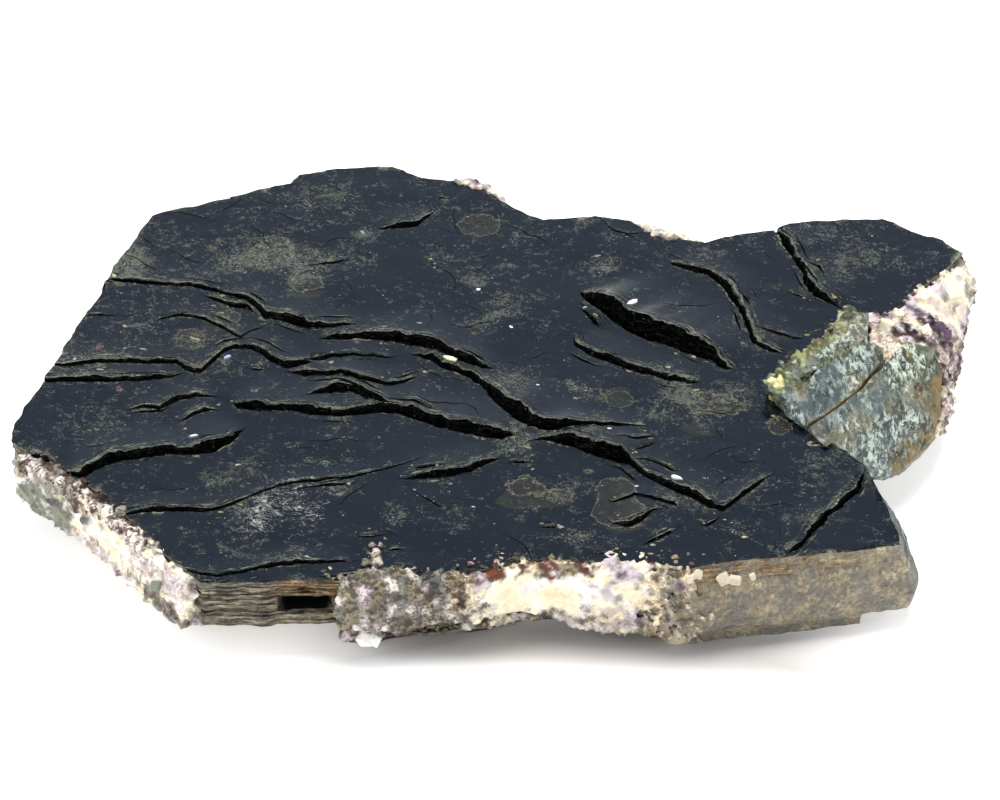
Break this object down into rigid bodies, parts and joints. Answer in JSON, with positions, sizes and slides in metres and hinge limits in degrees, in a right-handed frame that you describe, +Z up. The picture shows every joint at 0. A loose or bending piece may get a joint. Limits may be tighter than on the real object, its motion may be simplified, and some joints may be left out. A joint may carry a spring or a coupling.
{
  "type": "annite mica specimen",
  "caption": "Flat book of glossy black annite mica with a cracked, ledged face, laminated edges, white feldspar crusts along its rim and a grey mica crystal grown through one corner.",
  "frame": {"origin": "bottom centre of the whole specimen's box, on the surface that it lies on", "axes": "+X along the book's length towards the grey crystal, +Y towards the back edge away from the feldspar front, +Z up out of the polished face"},
  "size_m": [0.1128, 0.0822, 0.0131],
  "materials": {
    "black_mica": "gloss",
    "grey_mica": "satin",
    "feldspar": "matte"
  },
  "bodies": {
    "root": {"annite_plate": "black_mica", "grey_mica_crystal": "grey_mica", "feldspar_crust_left": "feldspar", "feldspar_mass_front": "feldspar", "feldspar_crust_right": "feldspar", "feldspar_patch_back_left": "feldspar", "feldspar_patch_back_right": "feldspar"}
  },
  "joints": []
}
